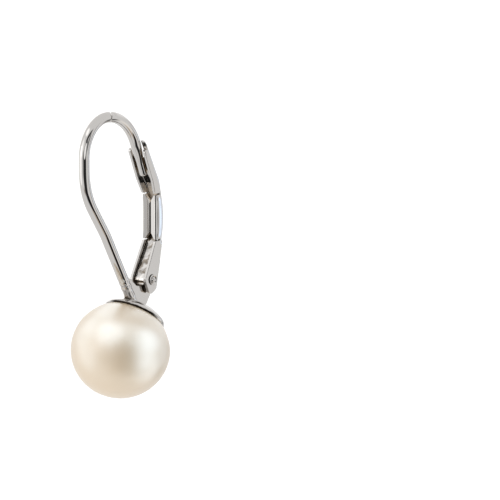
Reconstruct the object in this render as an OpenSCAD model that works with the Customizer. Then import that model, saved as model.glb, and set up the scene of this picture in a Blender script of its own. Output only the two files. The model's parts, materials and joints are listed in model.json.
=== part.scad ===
// Leverback pearl earring, one of a pair.
// Z is up as it hangs, the pearl hangs at the front (-Y) and the lever closes behind the ear (+Y).
// The loop of wire and lever lies in the plane X = 0.
// The origin is the underside of the ear wire at its crown, where it hangs in the ear.

/* [Ear wire] */
// Diameter of the ear wire
wire_d = 0.9; // [0.8:0.05:1]
// Diameter of the slim tip that goes into the lever
tip_d = 0.65; // [0.5:0.05:0.7]
// Bend radius of the bow in front of the crown, at the wire's middle
front_bow_r = 3.05; // [2.9:0.05:3.2]
// Bend radius of the bow behind the crown
rear_bow_r = 4.4; // [4.3:0.05:4.5]
// Angle of the bow behind the crown
rear_bow_turn = 66.8; // [66:0.1:68]
// Length of the straight rear leg, with its taper and its blunt tip
rear_leg = 3; // [2.8:0.05:3.2]
// Length over which the rear leg slims down
taper_len = 0.8; // [0.5:0.1:1.2]
// Radius of the rounded edge at the end of the tip
tip_round = 0.2; // [0.1:0.01:0.24]
// Straight drop of the front wire below its bow
front_drop = 0.9; // [0.8:0.05:1]
// Bend radius of the front wire where it turns back under the ear
front_bend_r = 5.7; // [5.5:0.1:5.9]
// Width of the small nick across the top of the crown
nick_w = 0.45; // [0.3:0.05:0.5]
// Depth of the nick
nick_depth = 0.1; // [0.05:0.01:0.12]

/* [Pearl and cup] */
// Diameter of the pearl
pearl_d = 8; // [7.5:0.1:8.4]
// Lean of the pearl's drilled axis from upright, towards the back
cup_lean = 37; // [35:1:39]
// Half of the angle that the cup covers, seen from the pearl's middle
cup_half_angle = 43; // [38:1:48]
// Thickness of the cup at its pole
cup_t = 0.24; // [0.2:0.01:0.3]
// Thickness of the cup at its rim
rim_t = 0.05; // [0.04:0.01:0.12]
// Room for glue between the pearl and the cup
glue_gap = 0.03; // [0.02:0.01:0.05]
// Diameter of the peg that holds the pearl
peg_d = 0.8; // [0.6:0.05:1]
// Length of the peg inside the pearl
peg_len = 3; // [2:0.1:3.5]

/* [Hinge] */
// Distance of the hinge axis behind the crown
hinge_y = 5.28; // [5.2:0.01:5.35]
// Distance of the hinge axis below the crown's underside
hinge_drop = 13.63; // [13.6:0.01:13.7]
// Thickness of the hinge plate
plate_t = 0.72; // [0.6:0.02:0.76]
// Radius of the plate's round head about the hinge
plate_head_r = 0.44; // [0.4:0.01:0.44]
// Diameter of the rivet's pin
pin_d = 0.48; // [0.4:0.02:0.48]
// Running clearance of the pin in the plate, on the diameter
pin_play = 0.06; // [0.04:0.01:0.08]
// Diameter of the rivet's domed heads
rivet_head_d = 0.9; // [0.8:0.05:1]
// Height of the rivet's domed heads
rivet_head_h = 0.2; // [0.15:0.01:0.25]
// Gap between two parts that touch in use
touch_gap = 0.02; // [0.01:0.01:0.03]

/* [Lever] */
// Thickness of the lever's sheet
sheet_t = 0.26; // [0.22:0.01:0.28]
// Half of the lever's width at the hinge
half_w_hinge = 0.8; // [0.78:0.01:0.84]
// Half of the lever's width in the middle
half_w_middle = 0.7; // [0.68:0.01:0.72]
// Half of the lever's width at the top
half_w_top = 0.87; // [0.86:0.01:0.9]
// Bend radius of the lever's back
back_bend_r = 6.65; // [6.4:0.05:6.9]
// Angle of the bend of the lever's back
back_bend_turn = 43; // [42:0.5:44]
// Thickness of the spring leaf
leaf_t = 0.2; // [0.16:0.01:0.2]
// Half of the gap between the two folded flaps
seam_half = 0.05; // [0.03:0.01:0.08]
// Height of the two relief slits at the ends of the flaps
slit_h = 0.12; // [0.08:0.01:0.15]
// Depth of the relief slits from the open edge
slit_depth = 0.62; // [0.5:0.02:0.7]
// Half of the width of the notch in the lever's top for the ear wire
notch_half = 0.45; // [0.43:0.01:0.48]

/* [Hidden] */
$fn = 64;
wire_r = wire_d / 2;
tip_r = tip_d / 2;
// A straight laps into the bends beside it, which are finer by a hair so that they end inside it.
lap = 0.05;
bend_wire_r = wire_r - 0.004;
pearl_r = pearl_d / 2;
hinge_z = -hinge_drop;

// The cup's pole, on its outside under the hinge plate, and the pearl's middle below it.
cup_pole = [4.38, -15.64];
cup_axis = [sin(cup_lean), cos(cup_lean)];
cup_inner_r = pearl_r + glue_gap;
pole_r = cup_inner_r + cup_t;
pearl_mid = cup_pole - pole_r * cup_axis;

// The rim's plane and radius, and the outer sphere through the pole and the rim's outer edge.
rim_h = (cup_inner_r + rim_t) * cos(cup_half_angle);
rim_r = (cup_inner_r + rim_t) * sin(cup_half_angle);
shell_shift = (pole_r * pole_r - rim_h * rim_h - rim_r * rim_r) / (2 * (pole_r - rim_h));
shell_r = pole_r - shell_shift;

// The runs of the ear wire from the crown: a length for a straight, a radius and a turn for a bend.
// A heading is measured from straight down, and grows towards the back.
LENGTH = 0;
RADIUS = 1;
TURN = 2;
front_runs = [
    [0, front_bow_r, 90],
    [front_drop, 0, 0],
    [0, front_bend_r, 36.5],
    [2.5, 0, 0],
    [0, 8, -5.3],
    [6.9, 0, 0]
];
rear_runs = [[0, rear_bow_r, -rear_bow_turn]];

function bend_middle(p, h, run) =
    p + sign(run[TURN]) * run[RADIUS] * [cos(h), sin(h)];
function run_end(p, h, run) =
    run[TURN] == 0
        ? p + run[LENGTH] * [sin(h), -cos(h)]
        : bend_middle(p, h, run)
            - sign(run[TURN]) * run[RADIUS] * [cos(h + run[TURN]), sin(h + run[TURN])];
function place(runs, n, p, h) =
    n == 0 ? [p, h] : run_end_after(runs, n, place(runs, n - 1, p, h));
function run_end_after(runs, n, at) =
    [run_end(at[0], at[1], runs[n - 1]), at[1] + runs[n - 1][TURN]];

crown = [0, wire_r];
rear_end = place(rear_runs, 1, crown, 90);

// The lever's heights, measured up from the hinge axis.
lever_foot = -1.25;
lower_bend = 3.23;
upper_bend = 6.94;
flare_top = 8.3;
top_middle = 10.93;
slit_lower = lower_bend - slit_h / 2;
slit_upper = upper_bend + slit_h / 2;

// The lever's back: a straight, a bend and a straight up to the top.
back_start = [0.78, 0];
back_lean = 14.6;
back_rise = 3.45;
back_bend_at = back_start + back_rise * [sin(back_lean), cos(back_lean)];
back_middle = back_bend_at - back_bend_r * [cos(back_lean), -sin(back_lean)];
top_lean = back_lean - back_bend_turn;
top_out = [cos(top_lean), -sin(top_lean)];
top_up = [sin(top_lean), cos(top_lean)];
back_run = 4.6;

// A place on the front of the bare sheet above the cheeks, by its distance up from the bend.
sheet_trim = 0.02;
function top_front(up) =
    back_middle + (back_bend_r - sheet_t + sheet_trim) * top_out + up * top_up;

// The lever's open edge and its foot, as distances behind and above the hinge axis.
crease_y = 0.6;
front_line = [
    [-0.99, 0.16],
    [crease_y, 3.08],
    [crease_y, upper_bend],
    [-0.83, 10.13],
    [-1.06, 10.74],
    top_front(3.45),
    top_front(back_run)
];
foot_line = [
    [0.72, -0.68],
    [0.3, -1],
    [-0.2, -1.19],
    [-0.51, -1.01],
    [-0.96, -0.09]
];

// The folded flaps: the creases, and the seam between them.
crease_x = 0.63;
seam_y = 0.77;
flap_cut = 0.5;

// The spring leaf: its lean, its free end and its play beside the cheeks.
leaf_lean = 30.4;
leaf_end = [-0.83, 0.02];
leaf_len = 4.75;
leaf_play = 0.05;

// Places a flat outline drawn in Y and Z and gives it a width across the loop.
module across(width) {
    rotate([90, 0, 90])
        linear_extrude(height = width, center = true)
            children();
}

// Places a flat outline drawn in X and Z and gives it a depth from front to back.
module front_to_back(depth) {
    rotate([90, 0, 0])
        linear_extrude(height = depth, center = true)
            children();
}

// One run of round wire from a place and a heading.
module wire_run(p, h, run) {
    if (run[TURN] == 0) {
        translate([0, p[0], p[1]])
            rotate([180 + h, 0, 0])
                translate([0, 0, -lap])
                    cylinder(r = wire_r, h = run[LENGTH] + 2 * lap);
    } else {
        c = bend_middle(p, h, run);
        from = run[TURN] > 0 ? 180 + h : h + run[TURN];
        translate([0, c[0], c[1]])
            rotate([90, 0, 90])
                rotate([0, 0, from])
                    rotate_extrude(angle = abs(run[TURN]))
                        translate([run[RADIUS], 0])
                            circle(r = bend_wire_r);
    }
}

module wire_path(runs, h) {
    for (n = [0 : len(runs) - 1]) {
        at = place(runs, n, crown, h);
        wire_run(at[0], at[1], runs[n]);
    }
}

// The rear leg: it slims down and ends in a blunt tip with a rounded edge.
module rear_tip() {
    corner = [tip_r - tip_round, rear_leg - tip_round];
    translate([0, rear_end[0][0], rear_end[0][1]])
        rotate([180 + rear_end[1], 0, 0])
            rotate_extrude()
                union() {
                    polygon([
                        [0, -lap],
                        [wire_r, -lap],
                        [wire_r, 0],
                        [tip_r, taper_len],
                        [tip_r, corner[1]],
                        corner,
                        [corner[0], rear_leg],
                        [0, rear_leg]
                    ]);
                    intersection() {
                        translate(corner)
                            circle(r = tip_round);
                        translate(corner)
                            square(tip_round);
                    }
                }
}

// The nick across the top of the crown, a little behind the highest point.
module crown_nick() {
    nick_angle = 9;
    rise = rear_bow_r + wire_r;
    translate([0, 0, wire_r - rear_bow_r])
        rotate([-nick_angle, 0, 0])
            across(2 * wire_d)
                polygon([
                    [-nick_w, rise + nick_depth],
                    [nick_w, rise + nick_depth],
                    [0, rise - nick_depth]
                ]);
}

// The hinge plate, from the ear wire back to the hinge and down onto the cup.
module plate_outline() {
    polygon([
        [2.1, -12.9],
        [2.45, -13.02],
        [3.68, -13.92],
        [4.5, -14.04],
        [4.66, -13.85],
        [4.95, -13.48],
        [hinge_y, hinge_z],
        [5.66, -13.78],
        [5.61, -14.93],
        [4.94, -15.79],
        [4.2, -16.2],
        [3.1, -15.4],
        [2.6, -14]
    ]);
    translate([hinge_y, hinge_z])
        circle(r = plate_head_r);
}

module cup_frame() {
    translate([0, pearl_mid[0], pearl_mid[1]])
        rotate([-cup_lean, 0, 0])
            children();
}

module cup_body() {
    cup_frame()
        intersection() {
            translate([0, 0, shell_shift])
                sphere(r = shell_r);
            translate([0, 0, rim_h])
                cylinder(r = pearl_r, h = pearl_r);
        }
}

module ear_hook() {
    color("gainsboro") {
        difference() {
            union() {
                wire_path(rear_runs, 90);
                wire_path(front_runs, -90);
                rear_tip();
                across(plate_t)
                    plate_outline();
                cup_body();
            }
            crown_nick();
            cup_frame()
                sphere(r = cup_inner_r);
            translate([-plate_t, hinge_y, hinge_z])
                rotate([0, 90, 0])
                    cylinder(d = pin_d + pin_play, h = 2 * plate_t);
        }
        cup_frame()
            translate([0, 0, pearl_r - peg_len])
                cylinder(d = peg_d, h = peg_len + glue_gap + cup_t / 2);
    }
}

module pearl() {
    bore_play = 0.1;
    bore_rest = 0.3;
    color("linen")
        cup_frame()
            difference() {
                sphere(r = pearl_r);
                translate([0, 0, pearl_r - peg_len - bore_rest])
                    cylinder(d = peg_d + bore_play, h = 2 * peg_len);
            }
}

// Everything in front of the lever's back, less an inset.
module lever_back(inset) {
    up = [sin(back_lean), cos(back_lean)];
    out = [cos(back_lean), -sin(back_lean)];
    reach = back_bend_r - inset;
    union() {
        polygon([
            back_middle,
            back_middle + reach * out,
            back_middle + reach * out - 6 * up,
            back_middle - 6 * up
        ]);
        polygon([
            back_middle,
            back_middle + reach * top_out,
            back_middle + reach * top_out + back_run * top_up,
            back_middle + back_run * top_up
        ]);
        intersection() {
            translate(back_middle)
                circle(r = reach);
            polygon([
                back_middle,
                back_middle + 2 * back_bend_r * out,
                back_middle + 2 * back_bend_r * top_out
            ]);
        }
    }
}

// The lever seen from the side.
module lever_side() {
    intersection() {
        lever_back(0);
        polygon(concat(front_line, [[9, 12.3], [9, -0.2]], foot_line));
    }
}

// The lever seen from the front, less an inset on each side.
module lever_front(inset) {
    function half(w) = w - inset;
    polygon([
        [-half(half_w_hinge), lever_foot],
        [half(half_w_hinge), lever_foot],
        [half(half_w_hinge), 0.2],
        [half(half_w_middle), lower_bend],
        [half(half_w_middle), upper_bend],
        [half(half_w_top), flare_top],
        [half(half_w_top), top_middle],
        [-half(half_w_top), top_middle],
        [-half(half_w_top), flare_top],
        [-half(half_w_middle), upper_bend],
        [-half(half_w_middle), lower_bend],
        [-half(half_w_hinge), 0.2]
    ]);
    translate([0, top_middle])
        circle(r = half(half_w_top));
}

// The channel between the cheeks: in front of the web, and right through below the lower bend.
module channel() {
    intersection() {
        across(4)
            union() {
                intersection() {
                    lever_back(sheet_t);
                    translate([-4, 0])
                        square([12, 14]);
                }
                translate([-4, -2])
                    square([12, lower_bend + 2]);
            }
        front_to_back(20)
            lever_front(sheet_t);
    }
}

// The blank of one flap, from a cheek to the seam, with its two corners cut off.
module flap() {
    inside = 0.05;
    intersection() {
        translate([0, 0, lower_bend])
            linear_extrude(height = upper_bend - lower_bend)
                polygon([
                    [half_w_middle - inside, crease_y + inside],
                    [seam_half, crease_y + inside],
                    [seam_half, seam_y + sheet_t],
                    [crease_x - sheet_t / 2, crease_y + sheet_t],
                    [half_w_middle - inside, crease_y + sheet_t]
                ]);
        front_to_back(20)
            polygon([
                [1, lower_bend],
                [crease_x, lower_bend],
                [seam_half, lower_bend + flap_cut],
                [seam_half, upper_bend - flap_cut],
                [crease_x, upper_bend],
                [1, upper_bend]
            ]);
    }
}

// The shallow valley between the creases, which gives the flaps their slanted faces.
module valley() {
    translate([0, 0, slit_lower])
        linear_extrude(height = slit_upper - slit_lower)
            polygon([
                [-crease_x, crease_y - 1],
                [crease_x, crease_y - 1],
                [crease_x, crease_y],
                [seam_half, seam_y],
                [-seam_half, seam_y],
                [-crease_x, crease_y]
            ]);
}

// The spring leaf, from the web down to its free end over the hinge plate.
module leaf() {
    run = leaf_len * [sin(leaf_lean), cos(leaf_lean)];
    back = leaf_t * [cos(leaf_lean), -sin(leaf_lean)];
    intersection() {
        across(4)
            polygon([leaf_end, leaf_end + run, leaf_end + run + back, leaf_end + back]);
        front_to_back(20)
            lever_front(sheet_t + leaf_play);
    }
}

module relief_slit(height) {
    translate([-2, crease_y - 1, height - slit_h / 2])
        cube([4, slit_depth + 1, slit_h]);
}

// The notch in the rounded top, which lets the ear wire pass.
module top_notch() {
    notch_floor = top_middle - 0.3;
    front_to_back(20)
        union() {
            translate([-notch_half, notch_floor])
                square([2 * notch_half, 3]);
            translate([0, notch_floor])
                circle(r = notch_half);
        }
}

// The cheeks and the web between them.
module folded_sheet() {
    difference() {
        intersection() {
            across(4)
                lever_side();
            front_to_back(20)
                lever_front(0);
        }
        channel();
    }
}

module lever() {
    color("silver")
        translate([0, hinge_y, hinge_z]) {
            difference() {
                union() {
                    folded_sheet();
                    flap();
                    mirror([1, 0, 0])
                        flap();
                }
                valley();
                relief_slit(slit_lower);
                relief_slit(slit_upper);
                top_notch();
                translate([-2, 0, 0])
                    rotate([0, 90, 0])
                        cylinder(d = pin_d + 2 * touch_gap, h = 4);
            }
            leaf();
        }
}

// One domed rivet head, on the outside of a cheek.
module rivet_head() {
    head_r = rivet_head_d / 2;
    dome_r = (head_r * head_r + rivet_head_h * rivet_head_h) / (2 * rivet_head_h);
    translate([half_w_hinge + touch_gap, 0, 0])
        rotate([0, 90, 0])
            intersection() {
                translate([0, 0, rivet_head_h - dome_r])
                    sphere(r = dome_r);
                cylinder(r = 2 * head_r, h = 1);
            }
}

module hinge_rivet() {
    pin_len = 2 * (half_w_hinge + touch_gap + rivet_head_h / 2);
    color("lightgray")
        translate([0, hinge_y, hinge_z]) {
            translate([-pin_len / 2, 0, 0])
                rotate([0, 90, 0])
                    cylinder(d = pin_d, h = pin_len);
            rivet_head();
            mirror([1, 0, 0])
                rivet_head();
        }
}

ear_hook();
lever();
hinge_rivet();
pearl();
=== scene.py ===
import json
import math

import bmesh
import bpy
import numpy as np
from bpy.props import FloatProperty, FloatVectorProperty, PointerProperty
from mathutils import Matrix, Vector


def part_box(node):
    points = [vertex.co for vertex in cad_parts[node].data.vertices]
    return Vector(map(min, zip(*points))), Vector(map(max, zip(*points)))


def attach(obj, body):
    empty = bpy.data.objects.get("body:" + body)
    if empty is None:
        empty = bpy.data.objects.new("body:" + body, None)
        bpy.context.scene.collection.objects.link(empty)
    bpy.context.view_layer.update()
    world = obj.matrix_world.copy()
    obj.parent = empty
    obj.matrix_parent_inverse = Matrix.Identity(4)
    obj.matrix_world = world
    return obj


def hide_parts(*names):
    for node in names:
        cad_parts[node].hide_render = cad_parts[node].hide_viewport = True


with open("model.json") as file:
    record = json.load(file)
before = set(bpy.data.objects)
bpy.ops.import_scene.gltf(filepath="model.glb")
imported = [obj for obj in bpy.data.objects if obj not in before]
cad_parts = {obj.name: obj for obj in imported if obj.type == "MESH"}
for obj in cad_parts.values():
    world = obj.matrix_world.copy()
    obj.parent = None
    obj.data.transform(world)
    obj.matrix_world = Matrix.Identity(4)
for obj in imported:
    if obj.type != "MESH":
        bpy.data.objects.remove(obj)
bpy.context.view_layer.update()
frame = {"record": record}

bl_info = {
    "name": "Leverback Pearl Earring",
    "version": (1, 0, 0),
    "blender": (4, 5, 0),
    "location": "3D View > Sidebar > Earring",
    "description": "Builds the metal, the pearl and the studio of a leverback pearl earring",
    "category": "Object",
}

MM = 0.001
PEARL_LOW, PEARL_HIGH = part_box("pearl")
HINGE = Vector(frame["record"]["behaviour"]["joints"][0]["pos_m"]) / MM


def linear(hex_colour):
    """An sRGB hex value as the linear colour that Blender's sockets take."""
    parts = [int(hex_colour[i:i + 2], 16) / 255 for i in (0, 2, 4)]
    return [c / 12.92 if c <= 0.04045 else ((c + 0.055) / 1.055) ** 2.4 for c in parts]


# Sizes and colours that a user would change


def length_setting(name, description, metres):
    return FloatProperty(name=name, description=description, default=metres, unit="LENGTH")


def angle_setting(name, description, degrees):
    return FloatProperty(
        name=name, description=description, default=math.radians(degrees), subtype="ANGLE"
    )


def colour_setting(name, description, hex_colour):
    return FloatVectorProperty(
        name=name, description=description, default=linear(hex_colour), subtype="COLOR", size=3
    )


class EarWireSizes(bpy.types.PropertyGroup):
    wire_d: length_setting("Wire", "Diameter of the ear wire", 0.9 * MM)
    tip_d: length_setting("Tip", "Diameter of the slim tip behind the ear", 0.65 * MM)
    nick_depth: length_setting("Nick depth", "Depth of the small nick across the crown", 0.28 * MM)


class CupSizes(bpy.types.PropertyGroup):
    thickness: length_setting("Cup thickness", "Thickness of the cup over the pearl", 0.24 * MM)
    half_angle: angle_setting("Cup half angle", "Half of the angle that the cup covers", 40.3)
    plate_t: length_setting("Hinge plate", "Thickness of the hinge plate", 0.72 * MM)


class LeverSizes(bpy.types.PropertyGroup):
    sheet_t: length_setting("Sheet", "Thickness of the lever's sheet", 0.26 * MM)
    fold_r: length_setting("Fold", "Outer radius of the folds along the lever's back", 0.3 * MM)
    edge_r: length_setting("Edge", "Rounding of the sheet's edges after tumbling", 0.05 * MM)
    leaf_t: length_setting("Spring leaf", "Thickness of the spring leaf", 0.2 * MM)


class PearlSizes(bpy.types.PropertyGroup):
    diameter: length_setting("Pearl", "Diameter of the pearl", PEARL_HIGH.x - PEARL_LOW.x)
    bulge: FloatProperty(
        name="Bulge", description="How much wider than tall the pearl is, as a share",
        default=0.024, min=0, max=0.03,
    )


class EarringColours(bpy.types.PropertyGroup):
    plate: colour_setting("Rhodium plate", "Colour of the plated metal", "CAC7C4")
    nacre: colour_setting("Nacre", "Body colour of the pearl", "CEB897")
    floor: colour_setting("Floor", "Colour of the studio floor", "FAFAFA")


class StudioSettings(bpy.types.PropertyGroup):
    azimuth: angle_setting("Azimuth", "Camera's angle round the earring, from the front", 36)
    elevation: angle_setting("Elevation", "Camera's angle above the horizon", 10)
    lens: FloatProperty(name="Lens", description="Focal length in millimetres", default=300)
    floor_drop: length_setting("Floor", "Height of the earring above the floor", 30 * MM)


GROUPS = {
    "earring_wire": EarWireSizes,
    "earring_cup": CupSizes,
    "earring_lever": LeverSizes,
    "earring_pearl": PearlSizes,
    "earring_colours": EarringColours,
    "earring_studio": StudioSettings,
}

# Meshes


def unit(v):
    return np.asarray(v, float) / np.linalg.norm(v)


def eased(share):
    """A share, kept between 0 and 1 and made gentle at both ends."""
    share = np.clip(share, 0, 1)
    return share * share * (3 - 2 * share)


def add_piece(name, verts, faces, material, body, sharp=35):
    """A mesh piece from points in millimetres in the row frame. It rides on a body of the frame."""
    mesh = bpy.data.meshes.new(name)
    mesh.from_pydata((np.asarray(verts, float) * MM).tolist(), [], faces)
    mesh.validate()
    turn_faces_out(mesh)
    mesh.shade_smooth()
    mesh.set_sharp_from_angle(angle=math.radians(sharp))
    mesh.materials.append(material)
    piece = bpy.data.objects.new(name, mesh)
    bpy.context.scene.collection.objects.link(piece)
    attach(piece, body)
    return piece


def turn_faces_out(mesh):
    """Turns all faces of a closed mesh away from its inside."""
    shape = bmesh.new()
    shape.from_mesh(mesh)
    bmesh.ops.recalc_face_normals(shape, faces=shape.faces)
    shape.to_mesh(mesh)
    shape.free()


def add_modifier(piece, kind, **settings):
    modifier = piece.modifiers.new(kind.title(), kind)
    for key, value in settings.items():
        setattr(modifier, key, value)


# A direction that no turned piece's axis lies along
ASKEW = (0.3, 0.9, 0.1)


def turned(profile, centre, axis, steps):
    """Points and faces of a body turned round an axis. The profile's pairs are a distance along
    the axis and a radius, and a radius of zero closes an end with one point."""
    axis = unit(axis)
    side = unit(np.cross(axis, ASKEW))
    other = np.cross(axis, side)
    verts, rings = [], []
    for along, radius in profile:
        middle = np.asarray(centre, float) + along * axis
        if radius == 0:
            rings.append([len(verts)])
            verts.append(middle)
            continue
        rings.append(list(range(len(verts), len(verts) + steps)))
        for a in np.arange(steps) * 2 * math.pi / steps:
            verts.append(middle + radius * (math.cos(a) * side + math.sin(a) * other))
    return verts, ring_faces(rings)


def ring_faces(rings):
    """Faces between rings of point numbers that follow each other. A ring of one point is an end."""
    faces = []
    for low, high in zip(rings, rings[1:]):
        n = max(len(low), len(high))
        for i in range(n):
            j = (i + 1) % n
            if len(low) == 1:
                faces.append((low[0], high[j], high[i]))
            elif len(high) == 1:
                faces.append((low[i], low[j], high[0]))
            else:
                faces.append((low[i], low[j], high[j], high[i]))
    return faces


def arc(centre, radius, start, end, steps):
    """Points on an arc, between two angles in degrees."""
    angles = np.radians(np.linspace(start, end, steps + 1))
    return [(centre[0] + radius * math.cos(a), centre[1] + radius * math.sin(a)) for a in angles]


def rounded(corners, radius, steps=4):
    """A closed outline with its corners rounded, each over less than half of its sides."""
    points = []
    n = len(corners)
    for i, here in enumerate(corners):
        here = np.array(here, float)
        back, on = np.array(corners[i - 1]) - here, np.array(corners[(i + 1) % n]) - here
        reach = min(radius, 0.45 * np.linalg.norm(back), 0.45 * np.linalg.norm(on))
        a, b = here + reach * unit(back), here + reach * unit(on)
        for t in np.linspace(0, 1, steps + 1):
            points.append(tuple((1 - t) ** 2 * a + 2 * t * (1 - t) * here + t * t * b))
    return points


# The pearl's middle in millimetres in the row frame, and the axis of the cup and the peg.
PEARL_MID = np.array([0, 1.8101, -19.0503])
CUP_LEAN = math.radians(37)
CUP_AXIS = unit([0, math.sin(CUP_LEAN), math.cos(CUP_LEAN)])
# The cup's inner radius, with room for the glue.
GLUE_R = 4.03
# The side where the painted line of shadow under the cup's rim is thickest, roughly toward the camera
# and square to the cup's axis.
RIM_SHADOW_SIDE = unit([0.495, -0.718, 0.475])


def clear_of_pearl(verts, room=0.03):
    """Lifts points that would reach into the pearl up into the wall of the cup."""
    verts = np.asarray(verts, float)
    out = verts - PEARL_MID
    far = np.linalg.norm(out, axis=1)
    short = far < GLUE_R + room
    verts[short] = PEARL_MID + out[short] * ((GLUE_R + room) / far[short])[:, None]
    return verts


# Materials


def new_material(name):
    material = bpy.data.materials.new(name)
    material.use_nodes = True
    tree = material.node_tree
    tree.nodes.clear()
    shader = add_node(tree, "ShaderNodeBsdfPrincipled")
    add_node(tree, "ShaderNodeOutputMaterial", {}, {"Surface": shader.outputs[0]})
    return material, tree, shader


def add_node(tree, kind, settings=None, inputs=None):
    """A node with its settings. An input is given as a value, or as a socket that it is linked to."""
    node = tree.nodes.new(kind)
    for key, value in (settings or {}).items():
        setattr(node, key, value)
    set_inputs(tree, node, inputs or {})
    return node


def set_inputs(tree, node, inputs):
    for key, value in inputs.items():
        if isinstance(value, bpy.types.NodeSocket):
            tree.links.new(value, node.inputs[key])
        else:
            node.inputs[key].default_value = value


# Painted black shade for seams, gaps and slits, painted brownish shade for hollows, a painted warm
# reflection for a channel's floor, and the heat tint of a spring strip
PAINTED_CREVICE_SHADE, PAINTED_HOLLOW_SHADE, PAINTED_WARM_REFLECTION, HEAT_TINT = "2A241D", "A8957B", "F6EADB", "75695A"


def rhodium_on_silver(name, roughness, dent_mm, dent_depth_mm, scratch_depth_mm=0.0, stain=0.0,
                      rim_shadow_mm=None, reflection_patch_mm=None):
    """Rhodium plate over silver, bright and a little grey. Seams, gaps and slits, where the surface is
    closed in, are painted black as shade, and hollows are painted a brownish shade and left satin. A
    cup also has a painted black line of shadow below the height of its rim, along its axis. A folded
    channel has a painted warm reflection, a beige matt patch between two heights."""
    material, tree, shader = new_material(name)
    place = add_node(tree, "ShaderNodeTexCoord").outputs["Object"]
    # Seams, gaps, slits and the cup's rim get painted black shade.
    painted_shade = painted_shade_share(tree, place, rim_shadow_mm)
    # Hollows about a millimetre deep get a painted brownish shade, and stay satin.
    hollow = add_node(
        tree, "ShaderNodeAmbientOcclusion", {"samples": 12}, {"Distance": 1.1 * MM}
    ).outputs["AO"]
    hollow_shade = add_node(
        tree, "ShaderNodeMapRange", {"interpolation_type": "SMOOTHSTEP"},
        {0: hollow, 1: 0.2, 2: 0.5, 3: 1.0, 4: 0.0},
    ).outputs[0]
    # The plating is a touch duller in patches about 0.6 mm wide. Heat tint and thin plate leave a
    # spring strip mottled in the same patches.
    patches = add_node(
        tree, "ShaderNodeTexNoise", {}, {"Vector": place, "Scale": 1 / (0.6 * MM), "Detail": 3.0}
    ).outputs[0]
    dull = add_node(
        tree, "ShaderNodeMapRange", {},
        {0: patches, 1: 0.35, 2: 0.7, 3: roughness * 0.7, 4: roughness * 1.35},
    )
    mottle = add_node(
        tree, "ShaderNodeMapRange", {"interpolation_type": "SMOOTHSTEP"},
        {0: patches, 1: 0.42, 2: 0.6, 3: 0.0, 4: stain},
    )
    # The heat tint is the strip's own colour. Over it lie the painted brownish shade of hollows and the
    # painted black shade of seams, gaps and slits.
    layers = [(mottle.outputs[0], HEAT_TINT), (hollow_shade, PAINTED_HOLLOW_SHADE), (painted_shade, PAINTED_CREVICE_SHADE)]
    metallic = 1.0
    if reflection_patch_mm:
        # A painted warm reflection: a beige matt patch on the channel's floor, which catches light
        # where the bare metal mirrors the dark.
        warm_reflection = warm_reflection_share(tree, place, hollow, *reflection_patch_mm)
        layers.append((warm_reflection, PAINTED_WARM_REFLECTION))
        metallic = add_node(
            tree, "ShaderNodeMapRange", {}, {0: warm_reflection, 1: 0.0, 2: 1.0, 3: 1.0, 4: 0.0}
        ).outputs[0]
    colour = (*bpy.context.scene.earring_colours.plate, 1)
    for share, over in layers:
        colour = add_node(
            tree, "ShaderNodeMix", {"data_type": "RGBA"},
            {0: share, 6: colour, 7: (*linear(over), 1)},
        ).outputs[2]
    satin = add_node(
        tree, "ShaderNodeMath", {"operation": "MAXIMUM"}, {0: painted_shade, 1: hollow_shade}
    )
    rough = add_node(
        tree, "ShaderNodeMix", {"data_type": "FLOAT"},
        {0: satin.outputs[0], 2: dull.outputs[0], 3: 0.42},
    )
    normal = buffed_normal(tree, place, dent_mm, dent_depth_mm, scratch_depth_mm)
    set_inputs(tree, shader, {
        "Base Color": colour, "Metallic": metallic, "Roughness": rough.outputs[0], "Normal": normal,
    })
    return material


def painted_shade_share(tree, place, rim_shadow_mm):
    """How much painted black shade lies where the surface is closed in, with an uneven border."""
    open_share = add_node(
        tree, "ShaderNodeAmbientOcclusion", {"samples": 12}, {"Distance": 0.35 * MM}
    )
    specks = add_node(
        tree, "ShaderNodeTexNoise", {}, {"Vector": place, "Scale": 1 / (0.25 * MM), "Detail": 2.0}
    ).outputs[0]
    border = add_node(
        tree, "ShaderNodeMath", {"operation": "MULTIPLY_ADD"},
        {0: specks, 1: 0.08, 2: open_share.outputs["AO"]},
    )
    painted_shade = add_node(
        tree, "ShaderNodeMapRange", {"interpolation_type": "SMOOTHSTEP"},
        {0: border.outputs[0], 1: 0.26, 2: 0.48, 3: 1.0, 4: 0.0},
    ).outputs[0]
    if rim_shadow_mm:
        line = rim_shadow_share(tree, place, specks, rim_shadow_mm)
        painted_shade = add_node(
            tree, "ShaderNodeMath", {"operation": "MAXIMUM"}, {0: painted_shade, 1: line}
        ).outputs[0]
    return painted_shade


def rim_shadow_share(tree, place, specks, rim_shadow_mm):
    """A ragged painted line of shadow under the cup's rim. It is thick on the side toward the camera,
    and fades out to both sides."""
    height, turn = (
        add_node(
            tree, "ShaderNodeVectorMath", {"operation": "DOT_PRODUCT"}, {0: place, 1: direction}
        ).outputs["Value"]
        for direction in (CUP_AXIS, RIM_SHADOW_SIDE)
    )
    ragged = add_node(
        tree, "ShaderNodeMath", {"operation": "MULTIPLY_ADD"}, {0: specks, 1: 0.1 * MM, 2: height}
    )
    low = (rim_shadow_mm + 0.06) * MM
    line = add_node(
        tree, "ShaderNodeMapRange", {},
        {0: ragged.outputs[0], 1: low, 2: low + 0.04 * MM, 3: 1.0, 4: 0.0},
    )
    middle = float(PEARL_MID @ RIM_SHADOW_SIDE)
    near = add_node(
        tree, "ShaderNodeMapRange", {"interpolation_type": "SMOOTHSTEP"},
        {0: turn, 1: (middle + 1.35) * MM, 2: (middle + 1.9) * MM, 3: 0.0, 4: 1.0},
    )
    return add_node(
        tree, "ShaderNodeMath", {"operation": "MULTIPLY"},
        {0: line.outputs[0], 1: near.outputs[0]},
    ).outputs[0]


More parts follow.
